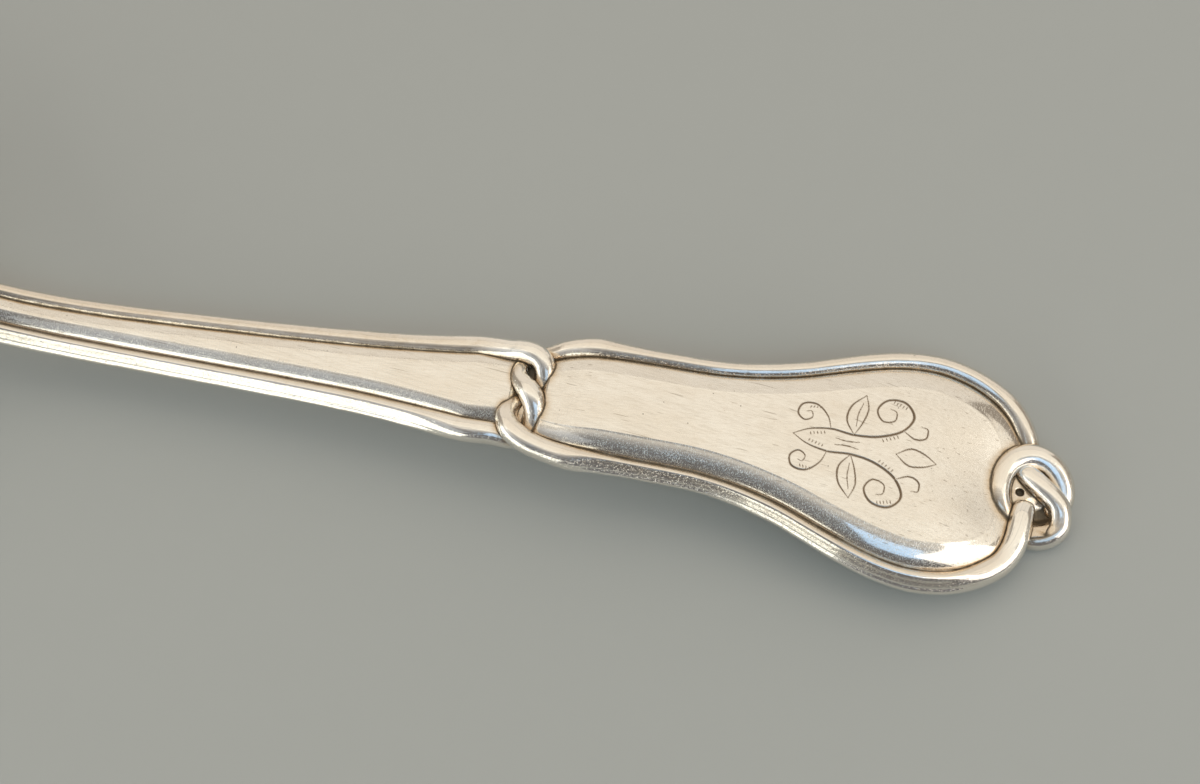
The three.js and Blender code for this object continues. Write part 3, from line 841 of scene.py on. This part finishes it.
# Tip knot. The loop of an overhand knot, bent from drawn wire: it starts in the eye, passes under
# itself, swings over the right-hand wire's end and under the left-hand one's, and goes back across
# itself to end under the loop.
KNOT_LOOP = [
    # ahead of the knot's middle, aside, over the handle's middle, and the wire's width
    (1.9, -0.5, -0.75, 2.2),
    (2.45, 0.0, -0.6, 2.25),
    (2.7, 0.8, -0.25, 2.3),
    (2.5, 1.9, 0.1, 2.35),
    (1.85, 2.9, 0.4, 2.35),
    (0.9, 3.6, 0.65, 2.35),
    (-0.3, 3.87, 0.7, 2.35),
    (-1.5, 3.57, 0.6, 2.35),
    (-2.5, 2.77, 0.4, 2.35),
    (-3.1, 1.6, 0.3, 2.35),
    (-3.28, 0.3, 0.2, 2.35),
    (-3.1, -1.0, 0.0, 2.35),
    (-2.5, -2.15, -0.3, 2.3),
    (-1.6, -3.0, -0.65, 2.2),
    (-0.5, -3.65, -0.8, 2.15),
    (0.9, -3.8, -0.5, 2.1),
    (2.0, -3.35, -0.1, 2.1),
    (2.7, -2.6, 0.25, 2.1),
    (2.78, -1.6, 0.55, 2.1),
    (2.5, -0.65, 0.8, 2.15),
    (1.8, 0.1, 0.9, 2.15),
    (0.85, 0.78, 0.85, 2.15),
    (0.0, 1.42, 0.65, 2.15),
    (-0.75, 2.0, 0.3, 2.15),
    (-1.3, 2.5, -0.2, 2.1),
    (-1.6, 3.0, -0.6, 2.0),
]
KNOT_STEP = 0.1  # spacing of the mesh along the loop

knot_stations = [(knot_x + ahead, aside, lift, width, width) for ahead, aside, lift, width in KNOT_LOOP]
points, faces, straight = wire_mesh(knot_stations, KNOT_STEP)
points[:, 2] = np.maximum(points[:, 2], 0)
knot = new_piece(
    "knot_loop", points, faces, wire_silver, "tip_knot", "wire_silver", straight=straight
)


# Stem bar. A crowned bar of silver is soldered between the stem's two wires. Its grooves, hard to
# reach with a cloth, are tarnished brown and darkened with painted shade, while its crown is rubbed
# bright.
BAR_BEVEL = 1.45  # width of the bevels that go down to the grooves
BAR_DROP = 0.8
FAR_DROP = 0.5  # the far groove is shallower
BAR_RISE = 0.12  # of the crown over the wires
BAR_CROWN = 0.05  # rise of the middle over the bevels' upper edges
BAR_EDGE_SLOPE = 0.28  # slope of a bevel at its upper edge, as a share of its mean slope
BAR_ROWS = (0, 176, 212)  # rows of the mesh at the bowl, before the twist and in its middle
BAR_COLUMNS = 81
BAR_INSET = 0.38  # share of a wire's width from its middle to the groove beside it
WEB_HALF = 0.15  # half thickness of the metal that closes the eyes of the twist and the knot
TWIST_DIP = 0.5  # the bar's near edge and the plate's far one dip under the wires that cross them


def sheet_between(xs, shares, near_at, far_at, surface, skip=1):
    """A closed sheet from the near wire to the far one. Its underside takes every skip-th line."""

    def side(xs, shares, up):
        x = np.repeat(xs, len(shares))
        share = np.tile(shares, len(xs))
        y = np.where(share < 0, share * near_at(x), share * far_at(x))
        return np.column_stack((x, y, handle_height(x) + surface(x, y, share, up)))

    width = len(shares)
    under_width = len(shares[::skip])
    top = side(xs, shares, 1)
    under = side(xs[::skip], shares[::skip], -1)
    faces = []
    for i in range(len(xs) - 1):
        faces += [face[::-1] for face in strip(i * width, (i + 1) * width, width, closed=False)]
    for i in range(len(xs[::skip]) - 1):
        row = len(top) + i * under_width
        faces += strip(row, row + under_width, under_width, closed=False)

    def rim(edge, under_edge):
        """Faces that join an edge of the top to the same edge of the underside."""
        return [
            (*edge[i * skip : (i + 1) * skip + 1], under_edge[i + 1], under_edge[i])
            for i in range(len(under_edge) - 1)
        ]

    top_ids = np.arange(len(top)).reshape(-1, width)
    under_ids = len(top) + np.arange(len(under)).reshape(-1, under_width)
    faces += [face[::-1] for face in rim(top_ids[:, 0], under_ids[:, 0])]
    faces += rim(top_ids[:, -1], under_ids[:, -1])
    faces += rim(top_ids[0], under_ids[0])
    faces += [face[::-1] for face in rim(top_ids[-1], under_ids[-1])]
    return np.vstack((top, under)), faces


def bevel(t, least, power):
    """Rise of a bevel, 0 at its groove and 1 at its upper edge. least is its slope there over the mean."""
    t = np.clip(t, 0, 1)
    return least * t + (1 - least) * (1 - (1 - t) ** (power + 1))


def twist_rise(distance):
    """Share of a panel's height that is left at a distance from the waist, where it thins to a web."""
    return soft_step(0.8, 2.0, distance) * (0.7 + 0.3 * soft_step(2, 8, distance))


def twist_dip(share, distance):
    """How far the edge of a panel where share is 1 dips under the wire that crosses it."""
    return TWIST_DIP * soft_step(0.3, 1, share) * soft_step(6, 1, distance)


def bar_half(x):
    """Half of the distance between the stem's wires."""
    in_twist = waist_half - 0.1 * soft_step(stem_end, waist_x, x)
    return np.where(x < stem_end, stem_half(x), in_twist)


def from_bar_groove(x, y):
    """Distance from the nearer groove, towards the bar's middle."""
    return bar_half(x) - np.abs(y - stem_lean(x)) - BAR_INSET * wire_width(x)


def bar_surface(x, y, share, up):
    """Height over the handle's middle. up is 1 for the top and -1 for the underside."""
    sunk = 1 - bevel(from_bar_groove(x, y) / BAR_BEVEL, BAR_EDGE_SLOPE, 1)
    drop = BAR_DROP + (FAR_DROP - BAR_DROP) * soft_step(-0.4, 0.4, y - stem_lean(x))
    height = wire_depth(x) / 2 + BAR_RISE - drop * sunk - BAR_CROWN * share**2
    before = waist_x - x
    height = WEB_HALF + (height - WEB_HALF) * twist_rise(before)
    return up * height - twist_dip(-share, before)


bar_stops = (WIRE_START + 0.3, waist_x - 4, waist_x + 0.1)
bar_xs = np.interp(np.arange(BAR_ROWS[-1] + 1), BAR_ROWS, bar_stops)
bar_shares = np.sin(np.linspace(-np.pi / 2, np.pi / 2, BAR_COLUMNS))
bar_points, bar_faces = sheet_between(
    bar_xs,
    bar_shares,
    lambda x: bar_half(x) - stem_lean(x),
    lambda x: bar_half(x) + stem_lean(x),
    bar_surface,
)
bar_inward = from_bar_groove(bar_points[:, 0], bar_points[:, 1])
bar_roll = soft_step(1.1 * BAR_BEVEL, 0.9 * BAR_BEVEL, bar_inward)
panel_silver = silver("panel_silver", 0.22, None, 0.0035, 0.9, 0)
bar = new_piece(
    "stem_rib", bar_points, bar_faces, panel_silver, "stem_bar", "panel_silver", roll=bar_roll
)


# Terminal plate. A crowned plate of sheet silver is soldered into the flared end. Its edge rolls down
# to the wires, it closes the eyes of the twist and the knot, and a scroll flourish is cut into its top.
PLATE_GROOVE = 0.55  # height of the grooves over the handle's middle
PLATE_INSET = 0.38  # share of a wire's width from its middle to the groove beside it
PLATE_SLOPE = 0.5  # mean slope of the bevel along the wires
PLATE_EDGE_SLOPE = 0.4  # slope of the bevel at its upper edge, as a share of that
PLATE_UNDER = 1.25  # depth of the underside, as a share of the wire's half depth
PLATE_SETTLE = 0.6  # share of its height that the plate loses towards the knot
EDGE_LINE = 0.02  # height of the fine raised line along the bevel's upper edge
EYE_RISE = 0.25  # height of the web in the knot's eye over the other webs
FLOURISH_MIDDLE = (32.6, 0.2)  # ahead of the waist and aside
CUT_DEPTH = 0.55  # depth of a cut over half of its width
TICK_WIDTH = 0.11
LEAST_CUT = 0.085  # width of a cut at its tapered ends
PINHOLE = (-1.25, 0.12, 0.36)  # ahead of the knot, aside, and its radius
PINHOLE_DEPTH = 0.5
PIT = (1.0, -2.0, 2.3)  # the same of the hollow beside it
PIT_DEPTH = 0.6
# the plate's edges round the knot: ahead of its middle and aside
NEAR_TIP = [(-2.15, 7.35), (-1.35, 6.0), (-0.9, 4.6), (0.5, 4.1), (1.9, 3.6), (2.7, 2.6)]
FAR_TIP = [(-2.64, 7.7), (-1.84, 6.5), (-1.2, 5.2), (-0.3, 3.9), (0.9, 3.6), (1.9, 2.9), (2.7, 1.7)]
PLATE_ROWS = (0, 28, 84, 292, 428)  # rows of the mesh from the twist to the tip, closest at the cuts
PLATE_COLUMNS = (0, 24, 192, 216)
UNDER_SKIP = 4  # the plain underside has every fourth row and column

terminal_run = [(x, float(terminal_half(x))) for x in np.linspace(terminal_start, terminal_end, 12)]
twist_run = [(waist_x - 0.1, 4.4), (waist_x + 0.8, 4.85), (waist_x + 2.8, 5.4)]
near_edge, far_edge = (
    smooth(*twist_run, *terminal_run, *[(knot_x + ahead, aside) for ahead, aside in tip])
    for tip in (NEAR_TIP, FAR_TIP)
)

# The flourish: two mirrored scrolls with leaves and a bud, each stroke with its width and its way
SCROLLS = [
    (0.27, [(-6.6, 0), (-5.2, 0.75), (-3.2, 1.15), (-1.0, 1.0), (1.3, 1.35), (3.4, 2.5), (4.2, 4.1),
            (3.2, 5.35), (1.5, 5.2), (0.75, 4.0), (1.4, 3.0), (2.5, 3.3), (2.5, 4.2), (1.9, 4.4)]),
    (0.20, [(-3.2, 1.15), (-3.7, 2.4), (-4.9, 3.4), (-6.2, 3.2), (-6.5, 2.2), (-5.8, 1.6), (-5.1, 2.0),
            (-5.3, 2.6), (-5.7, 2.5)]),
    (0.19, [(-1.0, 1.0), (-1.9, 2.4), (-1.7, 3.9), (-0.5, 5.3)]),
    (0.16, [(-0.5, 5.3), (-0.1, 3.9), (-0.4, 2.4), (-1.0, 1.0)]),
    (0.12, [(-0.95, 1.9), (-0.95, 3.2), (-0.65, 4.4)]),
    (0.19, [(3.4, 2.5), (4.7, 1.9), (5.6, 2.3), (5.6, 3.2), (5.0, 3.3)]),
    (0.18, [(3.1, 0), (4.4, 0.85), (5.7, 0.65), (6.9, 0)]),
    (0.13, [(-2.6, 0.35), (-1.6, 0.22), (-0.4, 0.35)]),
]
HATCHES = [
    # middle of a row of ticks, the way from tick to tick, the way of a tick, and their number
    ((2.7, 4.85), (-0.3, 0.08), (0.1, 0.26), 5),
    ((-5.0, 3.0), (-0.3, -0.05), (0.06, 0.22), 4),
    ((2.3, 1.5), (0.32, 0.17), (0.14, -0.22), 5),
    ((-4.4, 0.62), (0.32, 0.08), (0.08, -0.22), 5),
]


def plan_tree(places):
    """A search tree of places in plan."""
    tree = kdtree.KDTree(len(places))
    for i, (x, y) in enumerate(places):
        tree.insert((x, y, 0), i)
    tree.balance()
    return tree


strokes = [(width, np.array(way)) for width, way in SCROLLS]
for middle, onward, tick, count in HATCHES:
    for i in range(count):
        start = np.array(middle) + (i - (count - 1) / 2) * np.array(onward)
        strokes.append((TICK_WIDTH, np.array([start, start + 0.6 * np.array(tick), start + tick])))
stroke_points = []
half_widths = []
for side in (1, -1):
    for width, way in strokes:
        line = spline(way * (1, side), 0.04)
        taper = np.sin(np.linspace(0.12, np.pi - 0.12, len(line))) ** 0.6
        stroke_points.append(line)
        half_widths.append(0.5 * np.maximum(width * taper, LEAST_CUT))
stroke_points = np.concatenate(stroke_points) + (waist_x + FLOURISH_MIDDLE[0], FLOURISH_MIDDLE[1])
half_widths = np.concatenate(half_widths)
stroke_tree = plan_tree(stroke_points)


def cut_by_strokes(x, y):
    """How deep the strokes go at places on the plate, and how far a place lies inside a stroke."""
    found = [stroke_tree.find((px, py, 0)) for px, py in zip(x, y)]
    half = half_widths[[nearest for _, nearest, _ in found]]
    share = np.array([distance for _, _, distance in found]) / half
    return CUT_DEPTH * half * np.maximum(0, 1 - share), soft_step(1.25, 0.6, share)


bevel_width = smooth(
    (waist_x, 1.6),
    (waist_x + 10, 2.05),
    (waist_x + 25, 2.2),
    (waist_x + 37, 2.5),
    (waist_x + 42, 2.3),
    (waist_x + 46, 1.7),
    (knot_x + 3, 1.2),
)
plate_crown = smooth((waist_x, 0.08), (waist_x + 12, 0.1), (waist_x + 37, 0.22), (knot_x, 0.1))
# The wires' middles along the plate, without the strands that cross it in the twist and the knot
wire_lines = np.vstack([spline(route, 0.06)[:, :2] for route in routes.values()])
wire_lines = wire_lines[(wire_lines[:, 0] > waist_x + 0.6) & (np.abs(wire_lines[:, 1]) > 1)]
wire_lines = wire_lines[(np.abs(wire_lines[:, 1]) > 4.4) | (wire_lines[:, 0] > knot_x - 4)]
wire_tree = plan_tree(wire_lines)


def from_plate_groove(x, y):
    """Distance from the nearest groove, towards the plate's middle."""
    distance = np.array([wire_tree.find((px, py, 0))[2] for px, py in zip(x, y)])
    return distance - PLATE_INSET * wire_width(x)


def plate_surface(x, y, share, up):
    """Height over the handle's middle. up is 1 for the top and -1 for the underside."""
    inward = from_plate_groove(x, y)
    width = bevel_width(x)
    after = x - waist_x
    from_knot = np.hypot(x - knot_x + 0.2, y - 0.6)
    settle = 1 - PLATE_SETTLE * np.clip((11 - from_knot) / 6.5, 0, 1) ** 1.6
    if up > 0:
        bulge = 1 - (1 - np.clip((inward - width) / 4, 0, 1)) ** 2
        edge_line = EDGE_LINE * np.exp(-(((inward - width) / 0.12) ** 2))
        top = PLATE_SLOPE * width * bevel(inward / width, PLATE_EDGE_SLOPE, 2)
        top = top + plate_crown(x) * bulge + edge_line
        height = PLATE_GROOVE + settle * top
    else:
        height = PLATE_UNDER * wire_depth(x) / 2 * (1 - 0.6 * np.abs(share) ** 2.5) * settle
    web = WEB_HALF + EYE_RISE * soft_step(3.2, 2.4, from_knot) * soft_step(-2.2, -0.2, y)
    pit = np.hypot(x - knot_x - PIT[0], y - PIT[1])
    web = web - up * PIT_DEPTH * soft_step(PIT[2], 0.5 * PIT[2], pit)
    rise = twist_rise(after) * soft_step(2.6, 3.9, from_knot)
    height = up * (web + (height - web) * rise) - twist_dip(share, after)
    if up > 0:
        hole = np.hypot(x - knot_x - PINHOLE[0], y - PINHOLE[1])
        height = height - cut_by_strokes(x, y)[0]
        height = height - PINHOLE_DEPTH * soft_step(PINHOLE[2] + 0.06, PINHOLE[2] - 0.06, hole)
    return height


plate_stops = waist_x + np.array((-0.1, 4, 25.4, 40, 51.4))
plate_xs = np.interp(np.arange(PLATE_ROWS[-1] + 1), PLATE_ROWS, plate_stops)
plate_shares = np.interp(np.arange(PLATE_COLUMNS[-1] + 1), PLATE_COLUMNS, (-1, -0.62, 0.62, 1))
plate_points, plate_faces = sheet_between(
    plate_xs, plate_shares, near_edge, far_edge, plate_surface, UNDER_SKIP
)
plate_top = len(plate_xs) * len(plate_shares)
plate_cuts = cut_by_strokes(plate_points[:, 0], plate_points[:, 1])[1]
plate_cuts[plate_top:] = 0
plate_bevel = bevel_width(plate_points[:, 0])
plate_inward = from_plate_groove(plate_points[:, 0], plate_points[:, 1])
plate = new_piece(
    "flared_plate",
    plate_points,
    plate_faces,
    panel_silver,
    "terminal_plate",
    "panel_silver",
    cut=plate_cuts,
    roll=soft_step(1.08 * plate_bevel, 0.92 * plate_bevel, plate_inward),
)


# Heel drop. A small drop of cast silver, soldered on, laps under the stem and under the bowl's wall
# and carries the bowl on the stem.
HEEL_LAP = 6.5
HEEL_TAIL = 5.5
HEEL_WIDTH = 4.6
HEEL_TOP = 13.2  # highest place under the stem
HEEL_UNDERSIDE = 9.0
HEEL_TIP = 9.6  # height of the underside at the end that laps under the stem
HEEL_SINK = 0.25  # how far the tail goes into the bowl's wall, and its end stands out under it
HEEL_ROWS = 60
HEEL_SIDES = 33

heel_start = rim_x - HEEL_TAIL
heel_end = rim_x + HEEL_LAP
heel_xs = np.linspace(heel_start, heel_end, HEEL_ROWS)
stem_under = handle_height(heel_xs) - 0.85 * wire_depth(heel_xs) / 2
in_wall = bowl_height(heel_xs / bowl_stretch) + HEEL_SINK
heel_top = np.where(heel_xs < rim_x - 0.5, in_wall, np.minimum(stem_under, HEEL_TOP))
heel_under = smooth(
    (heel_start, bowl_height(np.array(heel_start / bowl_stretch)) - HEEL_SINK),
    (rim_x, HEEL_UNDERSIDE),
    (rim_x + 0.5 * HEEL_LAP, HEEL_UNDERSIDE),
    (heel_end, HEEL_TIP),
)(heel_xs)
heel_reach = (HEEL_LAP + HEEL_TAIL) / 2 + 0.6
heel_half = HEEL_WIDTH / 2 * np.sqrt(np.clip(1 - ((heel_xs - rim_x - 1.0) / heel_reach) ** 2, 0, 1))
heel_turn = np.linspace(np.pi, 2 * np.pi, HEEL_SIDES)
heel_points = np.stack(
    (
        np.repeat(heel_xs[:, None], HEEL_SIDES, axis=1),
        heel_half[:, None] * np.cos(heel_turn),
        heel_top[:, None] + (heel_top - heel_under)[:, None] * np.sin(heel_turn),
    ),
    axis=2,
).reshape(-1, 3)
heel_faces = tube_faces(HEEL_ROWS, HEEL_SIDES)
heel = new_piece(
    "heel", heel_points, heel_faces, wire_silver, "heel_drop", "wire_silver", straight=heel_points
)


# Tarnish and painted shade. Tarnishing settles where two pieces meet, out of reach of the polishing cloth.
# The same field paints a soft brown shade beside each joint, and darkens the eyes, pinhole and pit in
# SPOTS.
TARNISH_AND_SHADE_REACH = 1.0
BAR_TARNISH_AND_SHADE_REACH = 0.6  # the stem is handled and rubbed most
SPOTS = [
    # x, y, radius and strength: the twist's two eyes, then the knot's pinhole, its pit and the pit's floor
    (waist_x - 0.45, 2.8, 0.95, 1.0),
    (waist_x - 0.55, -1.6, 0.9, 0.82),
    (knot_x + PINHOLE[0], PINHOLE[1], 0.42, 1.15),
    (knot_x + 1.3, -2.4, 1.1, 0.8),
    (knot_x + 1.0, -1.65, 0.9, 0.94),
]
assembled = [bowl, *wires, knot, bar, plate, heel]
trees = {}
for piece in assembled:
    corners = [vertex.co for vertex in piece.data.vertices]
    trees[piece] = BVHTree.FromPolygons(corners, [face.vertices for face in piece.data.polygons])
for piece in assembled:
    field = np.zeros(len(piece.data.vertices), np.float32)
    reach = BAR_TARNISH_AND_SHADE_REACH if piece is bar else TARNISH_AND_SHADE_REACH
    for other in assembled:
        if other is piece:
            continue
        for vertex in piece.data.vertices:
            distance = trees[other].find_nearest(vertex.co, reach * MM)[3]
            if distance is not None:
                field[vertex.index] = max(field[vertex.index], 1 - distance / MM / reach)
    if piece in (bar, plate):
        places = np.array([vertex.co[:2] for vertex in piece.data.vertices]) / MM
        for x, y, radius, strength in SPOTS:
            share = soft_step(1.2 * radius, 0.8 * radius, np.hypot(places[:, 0] - x, places[:, 1] - y))
            field += share * (strength - field)
    piece.data.attributes.new("tarnish", "FLOAT", "POINT").data.foreach_set("value", field)
